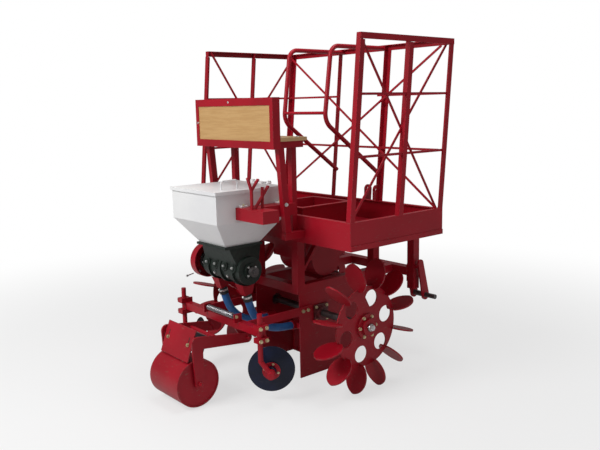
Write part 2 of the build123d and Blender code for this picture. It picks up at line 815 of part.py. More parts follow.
# Press roller: fork arms with a bend, tie bars, scraper plate and drum
def roller_fork():
    solid = None
    for sign in sideSigns:
        y0 = sign * forkHalf
        y1 = sign * (forkHalf + forkThick)
        arm = link_plate([(pivotX, pivotZ, 26), (bendX, bendZ, 32)], y0, y1)
        arm += link_plate([(bendX, bendZ, 32), (rollerX, rollerZ, 24)], y0, y1)
        arm -= across(pivotX, pivotZ, y0 - sign * 5, y1 + sign * 5, pivotRadius + pinGap)
        arm -= across(rollerX, rollerZ, y0 - sign * 5, y1 + sign * 5, rollerAxle + pinGap)
        solid = arm if solid is None else solid + arm
    solid += across(-1120, 322, -forkHalf, forkHalf, 12)
    slope = Vector(scraperTop[0] - scraperFoot[0], 0, scraperTop[1] - scraperFoot[1]).normalized()
    inward = Vector(slope.Z, 0, -slope.X)
    mid_z = bendZ + 8
    share = (mid_z - scraperFoot[1]) / (scraperTop[1] - scraperFoot[1])
    mid = Vector(scraperFoot[0] + share * (scraperTop[0] - scraperFoot[0]), 0, mid_z) + inward * (3 + 10 + seatGap)
    solid += bar((mid.X, -forkHalf, mid.Z), (mid.X, forkHalf, mid.Z), 20, 20, tuple(slope))
    return solid


keep("roller_fork", roller_fork())

scraper = bar((scraperFoot[0], 0, scraperFoot[1]), (scraperTop[0], 0, scraperTop[1]), 2 * scraperHalf, 6)
keep("scraper", scraper)

drum = across(rollerX, rollerZ, -rollerHalf, rollerHalf, rollerRadius)
for sign in sideSigns:
    drum -= across(rollerX, rollerZ, sign * (rollerHalf - 5), sign * (rollerHalf + 1), rollerRadius - 6)
drum += across(rollerX, rollerZ, -forkHalf - forkThick - 8, forkHalf + forkThick + 8, rollerAxle)
keep("roller", drum)

spring_low, spring_high = springEnds
spring = across(springX, springZ, spring_low + 25, spring_high - 25, springRadius)
spring += across(springX, springZ, spring_low + 4 + seatGap, spring_high - 4 - seatGap, 4)
keep("spring", spring)

# The origin goes to the bottom centre of the whole machine
rearEnd = rollerX - rollerRadius
frontEnd = lowerPinX + earRound
shift = -(rearEnd + frontEnd) / 2
print("shift", shift, "wheelZ", round(wheelZ, 3))
for name, shape in nodes.items():
    solids = [solid.translate((shift, 0, 0)) for solid in shape.solids()]
    export_step(Compound(children=solids) if len(solids) > 1 else solids[0], f"parts/{name}.step")
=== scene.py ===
import json
import math

import bmesh
import bpy
from mathutils import Matrix, Vector


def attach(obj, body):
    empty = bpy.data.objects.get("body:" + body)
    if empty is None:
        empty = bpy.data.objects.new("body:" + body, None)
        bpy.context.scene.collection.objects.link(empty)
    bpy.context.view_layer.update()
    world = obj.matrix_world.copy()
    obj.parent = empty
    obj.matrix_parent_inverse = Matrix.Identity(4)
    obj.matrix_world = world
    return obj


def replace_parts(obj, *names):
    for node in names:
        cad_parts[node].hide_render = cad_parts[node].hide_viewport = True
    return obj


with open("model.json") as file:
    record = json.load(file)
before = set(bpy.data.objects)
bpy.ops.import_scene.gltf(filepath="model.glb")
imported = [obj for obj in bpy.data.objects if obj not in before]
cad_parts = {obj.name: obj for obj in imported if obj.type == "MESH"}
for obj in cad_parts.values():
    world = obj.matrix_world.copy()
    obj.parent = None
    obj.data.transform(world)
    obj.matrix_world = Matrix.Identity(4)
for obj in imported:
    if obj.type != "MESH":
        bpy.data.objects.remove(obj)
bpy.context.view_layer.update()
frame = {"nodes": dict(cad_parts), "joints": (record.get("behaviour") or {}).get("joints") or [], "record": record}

scene = bpy.context.scene
print("frame loaded:", len(frame["nodes"]), "nodes")

joints = {joint["name"]: joint for joint in frame["joints"]}
xAxis, yAxis, zAxis = range(3)
wholeTurn = 2 * math.pi


# The outermost place of a CAD node along one axis, in millimetres of the frame
def faceOf(name, axis, pick=max):
    node = frame["nodes"][name]
    face = pick((node.matrix_world @ Vector(corner))[axis] for corner in node.bound_box)
    return round(face * 1000, 1)


# Places are in millimetres from the tray's front edge, radii and small distances in metres
trayFront = faceOf("tray_walls", xAxis)


def at(x, y, z):
    return Vector((x / 1000 + trayFront / 1000, y / 1000, z / 1000))


# A place on a joint's own line across the machine, y millimetres from the middle
def onLine(joint, y):
    x, middle, z = joints[joint]["pos_m"]
    return Vector((x, middle + y / 1000, z))


# Camera as solved from the photo
cameraView = {
    "place": (-2.448, -3.030, 1.491),
    "ahead": (0.639, 0.751, -0.167),
    "right": (0.759, -0.650, -0.020),
    "lens": 42.2,
    "sensor": 36,
}


def addCamera(view):
    ahead = Vector(view["ahead"]).normalized()
    right = Vector(view["right"])
    right = (right - ahead * right.dot(ahead)).normalized()
    turn = Matrix((right, right.cross(ahead), -ahead)).transposed().to_4x4()
    data = bpy.data.cameras.new("camera")
    data.lens = view["lens"]
    data.sensor_width = view["sensor"]
    camera = bpy.data.objects.new("camera", data)
    camera.matrix_world = Matrix.Translation(view["place"]) @ turn
    scene.collection.objects.link(camera)
    scene.camera = camera


addCamera(cameraView)
print("camera set")


# Shader maths on sockets
class Wire:
    def __init__(self, tree, socket):
        self.tree = tree
        self.socket = socket

    def node(self, kind, settings=None, sockets=None, output=0):
        made = self.tree.nodes.new("ShaderNode" + kind)
        for key, value in (settings or {}).items():
            setattr(made, key, value)
        for key, value in (sockets or {}).items():
            plug(self.tree, made.inputs[key], value)
        return Wire(self.tree, made.outputs[output])

    def maths(self, operation, first, second):
        return self.node("Math", {"operation": operation}, {0: first, 1: second})

    def __add__(self, other):
        return self.maths("ADD", self, other)

    def __radd__(self, other):
        return self.maths("ADD", other, self)

    def __sub__(self, other):
        return self.maths("SUBTRACT", self, other)

    def __rsub__(self, other):
        return self.maths("SUBTRACT", other, self)

    def __mul__(self, other):
        return self.maths("MULTIPLY", self, other)


def plug(tree, place, value):
    if isinstance(value, Wire):
        tree.links.new(value.socket, place)
    else:
        place.default_value = value


def startFinish(name):
    material = bpy.data.materials.new(name)
    material.use_nodes = True
    tree = material.node_tree
    shader = tree.nodes["Principled BSDF"]
    coords = Wire(tree, tree.nodes.new("ShaderNodeTexCoord").outputs["Object"])
    return material, shader, coords


def setShader(coords, shader, values):
    for key, value in values.items():
        plug(coords.tree, shader.inputs[key], value)


def noise(coords, scale, detail=3, stretch=None):
    if stretch:
        coords = coords.node("Mapping", {}, {"Vector": coords, "Scale": stretch})
    return coords.node("TexNoise", {}, {"Vector": coords, "Scale": scale, "Detail": detail})


def soften(value, low, high):
    return value.node("MapRange", {"interpolation_type": "SMOOTHSTEP"}, {0: value, 1: low, 2: high})


def mixColour(mask, first, second):
    return mask.node("Mix", {"data_type": "RGBA"}, {0: mask, 6: first, 7: second}, 2)


# How far a rounded normal has to turn from the flat one to count as an edge
edgeTurn = (0.015, 0.2)
edgeSamples = 4


def edgeMask(coords, radius):
    rounded = coords.node("Bevel", {"samples": edgeSamples}, {"Radius": radius})
    flat = coords.node("NewGeometry", {}, {}, "Normal")
    closeness = coords.node("VectorMath", {"operation": "DOT_PRODUCT"}, {0: rounded, 1: flat}, "Value")
    return soften(1 - closeness, *edgeTurn)


def bumpFrom(height, strength, distance):
    return height.node("Bump", {}, {"Height": height, "Strength": strength, "Distance": distance})


def rgba(colour):
    return (*colour, 1)


# Enamel over steel: broad shading, orange peel, rubbed and chipped edges, scuffs
enamelGrain = {"fine": 90, "peel": 260, "chips": 55, "scuff": 34}
enamelBands = {"patch": (0.35, 0.65), "rubbed": (0.2, 0.9), "scuff": (0.62, 0.72), "chip": 0.08}
enamelDepth = 0.0012


def paintFinish(name, look):
    material, shader, coords = startFinish(name)
    broad = soften(noise(coords, look["patch"], 4), *enamelBands["patch"])
    fine = noise(coords, enamelGrain["fine"], 2)
    peel = noise(coords, enamelGrain["peel"], 2)
    edge = edgeMask(coords, look["edge"])
    flakes = noise(coords, enamelGrain["chips"], 4)
    chips = soften(edge * flakes, look["chipLow"], look["chipLow"] + enamelBands["chip"])
    rubbed = soften(edge, *enamelBands["rubbed"]) * look["rubbed"]
    scuff = soften(noise(coords, enamelGrain["scuff"], 5, (1, 1, 3)), *enamelBands["scuff"]) * look["scuff"]
    base = mixColour(broad, rgba(look["colour"]), rgba(look["deep"]))
    base = mixColour(rubbed, base, rgba(look["pale"]))
    base = mixColour(scuff, base, rgba(look["dust"]))
    base = mixColour(chips, base, rgba(look["bare"]))
    rough = look["rough"] + fine * 0.12 + chips * 0.2 + scuff * 0.2
    setShader(coords, shader, {
        "Base Color": base,
        "Roughness": rough,
        "Metallic": chips * 0.6,
        "Normal": bumpFrom(peel * 0.6 + fine * 0.4 - chips * 0.5, look["bump"], enamelDepth),
        "Coat Weight": look["coat"],
        "Coat Roughness": 0.2,
        "Specular IOR Level": look["shine"],
    })
    return material


crimsonLook = {
    "colour": (0.35, 0.004, 0.015), "deep": (0.27, 0.003, 0.011), "pale": (0.46, 0.025, 0.042),
    "dust": (0.26, 0.05, 0.05), "bare": (0.22, 0.17, 0.16), "patch": 2.6, "edge": 0.003, "chipLow": 0.54,
    "rubbed": 0.4, "scuff": 0.2, "rough": 0.36, "bump": 0.12, "coat": 0.06, "shine": 0.22,
}
crimson = paintFinish("crimsonEnamel", crimsonLook)
wheelLook = dict(crimsonLook, scuff=0.45, chipLow=0.46, dust=(0.24, 0.09, 0.07), rough=0.38)
wheelCrimson = paintFinish("wheelEnamel", wheelLook)
soilCrimson = paintFinish("openerEnamel", dict(wheelLook, scuff=0.5, chipLow=0.44, dust=(0.22, 0.09, 0.07)))
trayCrimson = paintFinish("trayEnamel", dict(crimsonLook, scuff=0.4, patch=1.4))
whiteEnamel = paintFinish("whiteEnamel", {
    "colour": (0.78, 0.78, 0.78), "deep": (0.72, 0.72, 0.73), "pale": (0.82, 0.82, 0.82),
    "dust": (0.60, 0.58, 0.54), "bare": (0.34, 0.33, 0.31), "patch": 3.0, "edge": 0.003, "chipLow": 0.60,
    "rubbed": 0.3, "scuff": 0.18, "rough": 0.34, "bump": 0.08, "coat": 0.15, "shine": 0.35,
})
navyEnamel = paintFinish("navyEnamel", {
    "colour": (0.006, 0.010, 0.034), "deep": (0.003, 0.005, 0.018), "pale": (0.03, 0.04, 0.08),
    "dust": (0.06, 0.05, 0.05), "bare": (0.24, 0.23, 0.23), "patch": 9.0, "edge": 0.003, "chipLow": 0.46,
    "rubbed": 0.5, "scuff": 0.35, "rough": 0.36, "bump": 0.1, "coat": 0.06, "shine": 0.25,
})


# Bare, plated or cast metal: brushed streaks, clouds, spots and bright edges
metalGrain = {"cloud": 0.2, "spots": 1.7}  # as shares of the look's own scale
metalBands = {"cloud": (0.35, 0.7), "spots": (0.62, 0.74)}
metalEdge = 0.0015
metalDepth = 0.0008


def metalFinish(name, look):
    material, shader, coords = startFinish(name)
    streak = noise(coords, look["scale"], 3, look["grain"])
    cloud = soften(noise(coords, look["scale"] * metalGrain["cloud"], 4), *metalBands["cloud"])
    speckle = noise(coords, look["scale"] * metalGrain["spots"], 5)
    spots = soften(speckle, *metalBands["spots"]) * look["spots"]
    edge = edgeMask(coords, metalEdge)
    base = mixColour(cloud, rgba(look["colour"]), rgba(look["deep"]))
    base = mixColour(spots, base, rgba(look["stain"]))
    base = mixColour(edge * 0.5, base, rgba(look["bright"]))
    setShader(coords, shader, {
        "Base Color": base,
        "Metallic": look["metal"] - spots * 0.4,
        "Roughness": look["rough"] + streak * 0.16 + spots * 0.25,
        "Normal": bumpFrom(streak + spots * 0.5, look["bump"], metalDepth),
    })
    return material


darkSteel = metalFinish("darkSteel", {
    "colour": (0.12, 0.11, 0.11), "deep": (0.07, 0.065, 0.065), "stain": (0.09, 0.05, 0.04),
    "bright": (0.40, 0.39, 0.38), "scale": 120, "grain": (1, 6, 1), "spots": 0.6, "metal": 0.85,
    "rough": 0.36, "bump": 0.15,
})
springSteel = metalFinish("springSteel", {
    "colour": (0.42, 0.42, 0.44), "deep": (0.32, 0.32, 0.34), "stain": (0.20, 0.18, 0.16),
    "bright": (0.75, 0.75, 0.76), "scale": 160, "grain": (1, 1, 1), "spots": 0.4, "metal": 0.9,
    "rough": 0.3, "bump": 0.1,
})
zinc = metalFinish("yellowZinc", {
    "colour": (0.62, 0.52, 0.30), "deep": (0.50, 0.42, 0.26), "stain": (0.30, 0.26, 0.20),
    "bright": (0.85, 0.80, 0.65), "scale": 220, "grain": (1, 1, 1), "spots": 0.5, "metal": 0.9,
    "rough": 0.26, "bump": 0.1,
})
brightZinc = metalFinish("brightZinc", {
    "colour": (0.66, 0.66, 0.65), "deep": (0.52, 0.52, 0.52), "stain": (0.34, 0.32, 0.30),
    "bright": (0.88, 0.88, 0.87), "scale": 220, "grain": (1, 1, 1), "spots": 0.4, "metal": 0.92,
    "rough": 0.24, "bump": 0.1,
})
darkCasting = metalFinish("darkCasting", {
    "colour": (0.010, 0.020, 0.014), "deep": (0.005, 0.009, 0.007), "stain": (0.05, 0.045, 0.035),
    "bright": (0.10, 0.11, 0.10), "scale": 300, "grain": (1, 1, 1), "spots": 0.6, "metal": 0.3,
    "rough": 0.42, "bump": 0.45,
})
redCasting = metalFinish("redCasting", {
    "colour": (0.15, 0.020, 0.024), "deep": (0.08, 0.012, 0.014), "stain": (0.14, 0.09, 0.07),
    "bright": (0.32, 0.16, 0.14), "scale": 260, "grain": (1, 1, 1), "spots": 0.6, "metal": 0.2,
    "rough": 0.45, "bump": 0.45,
})


# Plywood: long grain on the faces and thin layers on the edges
plyGrain = {"grain": 16, "pores": 160}
plyBands = {"grain": (0.35, 0.65), "pores": (0.55, 0.75), "layers": (-0.4, 0.4), "face": (0.6, 0.8)}
plyEdge = 0.003
plyDepth = 0.001


def plywoodFinish(name, look):
    material, shader, coords = startFinish(name)
    grain = noise(coords, plyGrain["grain"], 6, look["along"])
    pores = soften(noise(coords, plyGrain["pores"], 3, look["along"]), *plyBands["pores"])
    apart = coords.node("SeparateXYZ", {}, {0: coords}, look["thin"])
    waves = apart.node("Math", {"operation": "SINE"}, {0: apart * (wholeTurn / look["layer"])})
    layers = soften(waves, *plyBands["layers"])
    normal = coords.node("NewGeometry", {}, {}, "Normal")
    tilt = coords.node("SeparateXYZ", {}, {0: normal}, look["thin"])
    isFace = soften(tilt.node("Math", {"operation": "ABSOLUTE"}, {0: tilt}), *plyBands["face"])
    face = mixColour(soften(grain, *plyBands["grain"]), rgba(look["light"]), rgba(look["dark"]))
    face = mixColour(pores * 0.35, face, rgba(look["pore"]))
    side = mixColour(layers, rgba(look["dark"]), rgba(look["light"]))
    base = mixColour(isFace, side, face)
    worn = edgeMask(coords, plyEdge) * 0.5
    setShader(coords, shader, {
        "Base Color": mixColour(worn, base, rgba(look["worn"])),
        "Roughness": 0.38 + grain * 0.18 + pores * 0.1,
        "Normal": bumpFrom(grain * 0.6 - pores * 0.6, 0.2, plyDepth),
        "Coat Weight": 0.15,
    })
    return material


plyLook = {
    "light": (0.53, 0.34, 0.16), "dark": (0.45, 0.28, 0.12), "pore": (0.26, 0.14, 0.06),
    "worn": (0.68, 0.50, 0.32), "layer": 0.0036, "thin": "Z", "along": (9, 0.45, 9),
}
seatPly = plywoodFinish("seatPlywood", plyLook)
backLook = dict(plyLook, thin="X", light=(0.53, 0.32, 0.13), dark=(0.47, 0.27, 0.10))
backPly = plywoodFinish("backPlywood", backLook)


# Hose and rubber: cloudy colour, scuffs and a fine skin
hoseGrain = {"cloud": 14, "scuff": 60, "skin": 320}
hoseBands = {"cloud": (0.35, 0.7), "scuff": (0.6, 0.75)}
hoseDepth = 0.0008


def hoseFinish(name, look):
    material, shader, coords = startFinish(name)
    cloud = soften(noise(coords, hoseGrain["cloud"], 4), *hoseBands["cloud"])
    scuff = soften(noise(coords, hoseGrain["scuff"], 5), *hoseBands["scuff"]) * 0.5
    skin = noise(coords, hoseGrain["skin"], 2)
    base = mixColour(cloud, rgba(look["colour"]), rgba(look["deep"]))
    setShader(coords, shader, {
        "Base Color": mixColour(scuff, base, rgba(look["scuffed"])),
        "Roughness": look["rough"] + skin * 0.14 + scuff * 0.2,
        "Normal": bumpFrom(skin, 0.12, hoseDepth),
    })
    return material


blueHose = hoseFinish("blueHose", {
    "colour": (0.03, 0.15, 0.42), "deep": (0.02, 0.10, 0.30), "scuffed": (0.10, 0.22, 0.44),
    "rough": 0.34,
})
blackRubber = hoseFinish("blackRubber", {
    "colour": (0.018, 0.018, 0.019), "deep": (0.010, 0.010, 0.011), "scuffed": (0.05, 0.05, 0.05),
    "rough": 0.5,
})
print("finishes made")

# The CAD nodes take their finishes by the record's slots, some nodes by name
slotFinish = {
    "red_paint": crimson, "white_paint": whiteEnamel, "navy_paint": navyEnamel, "wood": seatPly,
    "hose": blueHose, "dark_casting": darkCasting, "cast_iron": redCasting, "steel": darkSteel,
    "spring_steel": springSteel,
}
nodeFinish = {
    "seat_back_board": backPly, "wheel_right": wheelCrimson, "wheel_left": wheelCrimson,
    "opener_share": soilCrimson, "opener_cheeks": soilCrimson, "roller": soilCrimson, "scraper": soilCrimson,
    "tray_floor": trayCrimson, "tray_walls": trayCrimson, "feed_trough": trayCrimson,
}
for part in frame["record"]["subparts"]:
    node = frame["nodes"][part["node"]]
    finish = nodeFinish.get(part["node"], slotFinish[part["material_slot"]])
    if not node.material_slots:
        node.data.materials.append(finish)
    for place in node.material_slots:
        place.material = finish
print("CAD nodes dressed")


# Each piece rides on one body and takes one finish
weldGap = 0.00001
sides = {-1: "right", 1: "left"}


def finishPiece(name, bm, body, finish):
    bmesh.ops.remove_doubles(bm, verts=bm.verts, dist=weldGap)
    bmesh.ops.recalc_face_normals(bm, faces=bm.faces)
    mesh = bpy.data.meshes.new(name)
    bm.to_mesh(mesh)
    bm.free()
    mesh.materials.append(finish)
    piece = bpy.data.objects.new(name, mesh)
    scene.collection.objects.link(piece)
    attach(piece, body)
    return piece


def seatOn(place, outward):
    turn = Vector((0, 0, 1)).rotation_difference(Vector(outward).normalized())
    return Matrix.Translation(place) @ turn.to_matrix().to_4x4()


def addRound(bm, seat, radius, low, high, segments, topRadius=None):
    top = radius if topRadius is None else topRadius
    bmesh.ops.create_cone(bm, cap_ends=True, segments=segments, radius1=radius, radius2=top,
                          depth=high - low, matrix=seat @ Matrix.Translation((0, 0, (low + high) / 2)))


# A profile of (radius, height) points, spun about the seat's own axis
def spinProfile(bm, seat, profile, steps, size=1, closed=False):
    verts = [bm.verts.new(seat @ Vector((radius * size, 0, height * size))) for radius, height in profile]
    ends = verts[1:] + verts[:1] if closed else verts[1:]
    edges = [bm.edges.new(pair) for pair in zip(verts, ends)]
    bmesh.ops.spin(bm, geom=verts + edges, cent=seat.translation, axis=seat.to_3x3() @ Vector((0, 0, 1)),
                   angle=wholeTurn, steps=steps, use_merge=True, use_duplicate=False)


def addTurned(bm, seat, profile, steps, size=1):
    spinProfile(bm, seat, [(0, profile[0][1]), *profile, (0, profile[-1][1])], steps, size)


# Fasteners in shares of the thread: washer, hexagon with its crown and thread end, or a round head
boltShape = (
    (((0.66, 0), (0.62, 0.12)), 18),
    (((0.57, 0.10), (0.57, 0.46), (0.47, 0.54)), 6),
    (((0.27, 0.50), (0.22, 0.68)), 10),
)
roundShape = ((((0.62, 0), (0.58, 0.12), (0.30, 0.26)), 16),)


def addBolt(bm, place, outward, size, shape=boltShape):
    for profile, steps in shape:
        addTurned(bm, seatOn(place, outward), profile, steps, size)


def boltSet(name, body, finish, places, size, shape=boltShape):
    bm = bmesh.new()
    for place, outward in places:
        addBolt(bm, place, outward, size, shape)
    finishPiece(name, bm, body, finish)


# Places for bolts: on a circle, mirrored, at both ends of a joint's line, or all facing one way
def circlePlaces(centre, outward, radius, count, phase=0):
    seat = seatOn(centre, outward)
    turns = [phase + index * wholeTurn / count for index in range(count)]
    spots = [Vector((radius * math.cos(turn), radius * math.sin(turn), 0)) for turn in turns]
    return [(seat @ spot, outward) for spot in spots]


def mirrored(half, *spots):
    return [(at(x, sign * half, z), (0, sign, 0)) for sign in sides for x, z in spots]


def lineEnds(joint, half):
    return [(onLine(joint, sign * half), (0, sign, 0)) for sign in sides]


def facing(outward, *spots):
    return [(at(*spot), outward) for spot in spots]


# Fertiliser hoses on the same route as in the part's source, with their cuffs and bands
hoseSizes = {
    "route": [(-930, 522), (-904, 417), (-835, 334), (-737, 287), (-630, 283)], "side": 110, "radius": 0.021,
    "length": 0.427, "order": 3, "runSteps": 14, "roundSteps": 6,
}
# Radius, start and end of each sleeve
sleeveSizes = {
    "cuff": (0.0245, 0.001, 0.040), "band": (0.0255, 0.012, 0.022), "wall": 0.0016, "segments": 32,
}
bandScrew = {"along": 0.017, "behind": 0.026, "size": 0.009}


def addHose(sign, name):
    points = [at(x, sign * hoseSizes["side"], z) for x, z in hoseSizes["route"]]
    curve = bpy.data.curves.new(name, "CURVE")
    curve.dimensions = "3D"
    spline = curve.splines.new("NURBS")
    spline.points.add(len(points) - 1)
    for place, point in zip(spline.points, points):
        place.co = (*point, 1)
    spline.order_u = hoseSizes["order"]
    spline.use_endpoint_u = True
    spline.resolution_u = hoseSizes["runSteps"]
    curve.bevel_depth = hoseSizes["radius"]
    curve.bevel_resolution = hoseSizes["roundSteps"]
    curve.use_fill_caps = True
    curve.materials.append(blueHose)
    hose = bpy.data.objects.new(name, curve)
    scene.collection.objects.link(hose)
    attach(hose, "root")
    return hose, points


def addSleeve(bm, start, run, kind):
    radius, low, high = sleeveSizes[kind]
    made = bmesh.ops.create_cone(bm, cap_ends=False, segments=sleeveSizes["segments"], radius1=radius,
                                 radius2=radius, depth=high - low,
                                 matrix=seatOn(start, run) @ Matrix.Translation((0, 0, (low + high) / 2)))
    faces = list({face for vert in made["verts"] for face in vert.link_faces})
    bmesh.ops.solidify(bm, geom=faces, thickness=sleeveSizes["wall"])


for sign, side in sides.items():
    hose, points = addHose(sign, "hose_" + side + "_tube")
    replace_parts(hose, "hose_" + side)
    firstRun = (points[1] - points[0]).normalized()
    bm = bmesh.new()
    addSleeve(bm, points[0], firstRun, "cuff")
    cuff = finishPiece("hose_cuff_" + side, bm, "root", blackRubber)
    bm = bmesh.new()
    addSleeve(bm, points[0], firstRun, "band")
    screw = points[0] + firstRun * bandScrew["along"] + Vector((-bandScrew["behind"], 0, 0))
    addBolt(bm, screw, (-1, 0, 0), bandScrew["size"])
    band = finishPiece("hose_band_" + side, bm, "root", brightZinc)
print("hoses laid")

# Tension spring: the wound coil, its straight ends and their nuts
springSizes = {
    "x": -1040, "z": 432, "low": -140, "high": 90, "coil": 0.0126, "wire": 0.0023, "wireSides": 8,
    "turns": 24, "steps": 14, "ends": ((-161, -136), (86, 111)), "endRadius": 0.0036, "endSides": 12,
    "nuts": ((-169, -1), (119, 1)), "nutSize": 0.014,
}


def addSpring(sizes):
    bm = bmesh.new()
    low = at(sizes["x"], sizes["low"], sizes["z"])
    ring = bmesh.ops.create_circle(bm, segments=sizes["wireSides"], radius=sizes["wire"],
                                   matrix=Matrix.Translation(low + Vector((sizes["coil"], 0, 0))))
    edges = list({edge for vert in ring["verts"] for edge in vert.link_edges})
    steps = sizes["turns"] * sizes["steps"]
    rise = (sizes["high"] - sizes["low"]) / 1000 / steps
    bmesh.ops.spin(bm, geom=ring["verts"] + edges, cent=low, axis=(0, 1, 0), dvec=(0, rise, 0),
                   angle=wholeTurn * sizes["turns"], steps=steps, use_merge=False, use_duplicate=False)
    bmesh.ops.holes_fill(bm, edges=bm.edges, sides=0)
    for start, end in sizes["ends"]:
        seat = seatOn(at(sizes["x"], start, sizes["z"]), (0, 1, 0))
        addRound(bm, seat, sizes["endRadius"], 0, (end - start) / 1000, sizes["endSides"])
    return finishPiece("tension_spring", bm, "root", springSteel)


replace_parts(addSpring(springSizes), "spring")
springNuts = [(at(springSizes["x"], y, springSizes["z"]), (0, sign, 0)) for y, sign in springSizes["nuts"]]
boltSet("spring_nuts", "root", zinc, springNuts, springSizes["nutSize"])
print("spring wound")

# Covering discs: hub plates with four bolts, end caps, and the bolts of the shanks' clamps
discSizes = {
    "boltSeat": 0.009, "boltCircle": (0.036, 4, 0.6), "boltSize": 0.010,
    "plateSeat": 0.006, "plateSteps": 48, "capSeat": 0.072, "capSteps": 28,
    "plate": ((0.0268, 0), (0.046, 0), (0.046, 0.003), (0.0268, 0.003)),
    "cap": ((0.0215, -0.004), (0.0200, 0.003), (0.0125, 0.007)),
}
clampSizes = {"rows": (353, 417), "columns": (-1048, -1010), "boltSize": 0.016}
for sign, side in sides.items():
    discJoint = joints["disc_" + side + "_turn"]
    centre, outward = Vector(discJoint["pos_m"]), Vector(discJoint["axis"])
    bm = bmesh.new()
    plateSeat = seatOn(centre + outward * discSizes["plateSeat"], outward)
    spinProfile(bm, plateSeat, discSizes["plate"], discSizes["plateSteps"], closed=True)
    finishPiece("disc_plate_" + side, bm, "disc_" + side, crimson)
    hubPlaces = circlePlaces(centre + outward * discSizes["boltSeat"], outward, *discSizes["boltCircle"])
    boltSet("disc_bolts_" + side, "disc_" + side, zinc, hubPlaces, discSizes["boltSize"])
    bm = bmesh.new()
    capSeat = seatOn(centre + outward * discSizes["capSeat"], outward)
    addTurned(bm, capSeat, discSizes["cap"], discSizes["capSteps"])
    finishPiece("disc_cap_" + side, bm, "root", crimson)
    clampPlaces = [(at(x, sign * faceOf("disc_clamps", yAxis), z), (0, sign, 0))
                   for z in clampSizes["rows"] for x in clampSizes["columns"]]
    boltSet("clamp_bolts_" + side, "root", zinc, clampPlaces, clampSizes["boltSize"])

# Wheels: hub bolts, axle end nuts and the bearings' bolts, each by its distance from the middle
axleSizes = {
    "hub": 568, "hubCircle": (0.057, 6), "hubBolt": 0.015, "end": faceOf("axle", yAxis), "endNut": 0.030,
    "flange": 210.3, "flangeCircle": (0.054, 4, math.pi / 4), "flangeBolt": 0.014,
}
for sign, side in sides.items():
    hub, end, flange = [onLine("wheels_turn", sign * axleSizes[key]) for key in ("hub", "end", "flange")]
    hubPlaces = circlePlaces(hub, (0, sign, 0), *axleSizes["hubCircle"])
    boltSet("hub_bolts_" + side, "ground_wheels", zinc, hubPlaces, axleSizes["hubBolt"])
    boltSet("axle_nut_" + side, "ground_wheels", brightZinc, [(end, (0, sign, 0))], axleSizes["endNut"])
    flangePlaces = circlePlaces(flange, (0, sign, 0), *axleSizes["flangeCircle"])
    boltSet("bearing_bolts_" + side, "root", zinc, flangePlaces, axleSizes["flangeBolt"])

# Scraper: two bolts, each with a row of slots up the slope beside it; each slot is painted shade, a row of thin
# dark discs laid on the plate in place of a cut-out
scraperSizes = {
    "normal": (-0.933, 0, 0.360), "upSlope": (0.360, 0, 0.933), "x": -1286.5, "ends": (-95, 95), "z": 322.5,
    "face": 0.003, "boltSize": 0.016, "slotRises": (0.016, 0.020, 0.024, 0.028, 0.032, 0.036),
    "slot": (0.0036, -0.0005, 0.0002, 14),
}
scraperNormal = Vector(scraperSizes["normal"])
upSlope = Vector(scraperSizes["upSlope"])
scraperRise = scraperNormal * scraperSizes["face"]
scraperFace = [(at(scraperSizes["x"], y, scraperSizes["z"]) + scraperRise, scraperNormal)
               for y in scraperSizes["ends"]]
boltSet("scraper_bolts", "roller_arm", zinc, scraperFace, scraperSizes["boltSize"])
# Painted shade: overlapping dark discs just proud of the scraper stand in for the dark inside of each slot
bm = bmesh.new()
for place, outward in scraperFace:
    for rise in scraperSizes["slotRises"]:
        addRound(bm, seatOn(place + upSlope * rise, outward), *scraperSizes["slot"])
finishPiece("scraper_slot_shade", bm, "roller_arm", darkCasting)


# Bolts in a circle about the metering shaft
def aroundShaft(y, radius, count, phase):
    return circlePlaces(onLine("metering_turn", y), (0, -1, 0), radius, count, phase)


# Bolts on the frame, seat, hopper and case: name, body, finish, places, thread and a shape of their own
up, left, back = (0, 0, 1), (0, 1, 0), (-1, 0, 0)
cleatSpots = [(x, y, 1009.3) for y in (-221, 221) for x in (-1010, -780)]
caseRim = ((-455, 372), (-462, 322), (-640, 520), (-670, 470), (-520, 395))
caseSpots = [(x, faceOf("chain_case", yAxis), z) for x, z in caseRim]
boardSpots = [(x, y, faceOf("seat_board", zAxis)) for x in (-836, -716) for y in (-300, 300)]
backRear = faceOf("seat_back_frame", xAxis, min) - trayFront
backSpots = [(backRear, y, z) for y, z in ((30, 1516), (325, 1409))]
armPlaces = mirrored(faceOf("drag_arms", yAxis), (-590, 385), (-625, 385))
mastPlaces = mirrored(faceOf("top_link_mast", yAxis), (135, 790), (135, 820))
meterEnd = -faceOf("metering_unit", yAxis)
boltTable = (
    ("arm_bolts", "root", zinc, armPlaces, 0.017),
    ("seat_arm_bolts", "root", brightZinc, mirrored(324, (-820, 1003)), 0.016),
    ("cleat_bolts", "root", zinc, facing(up, *cleatSpots), 0.012),
    ("ring_bolts", "root", brightZinc, aroundShaft(258, 0.074, 5, 0.4), 0.013),
    ("drive_bolts", "metering", brightZinc, aroundShaft(221, 0.038, 4, 0.2), 0.012),
    ("meter_end_bolts", "root", brightZinc, aroundShaft(meterEnd, 0.031, 4, 0.7), 0.009),
    ("case_bolts", "root", zinc, facing(left, *caseSpots), 0.012),
    ("board_bolts", "root", brightZinc, facing(up, *boardSpots), 0.016, roundShape),
    ("back_bolts", "root", brightZinc, facing(back, *backSpots), 0.010, roundShape),
    ("mast_bolts", "root", zinc, mastPlaces, 0.017),
    ("roller_nuts", "roller", crimson, lineEnds("roller_turn", faceOf("roller", yAxis)), 0.019),
    ("pivot_nuts", "root", crimson, lineEnds("roller_arm_lift", 160), 0.016),
)
for row in boltTable:
    boltSet(*row)
print("fasteners placed")

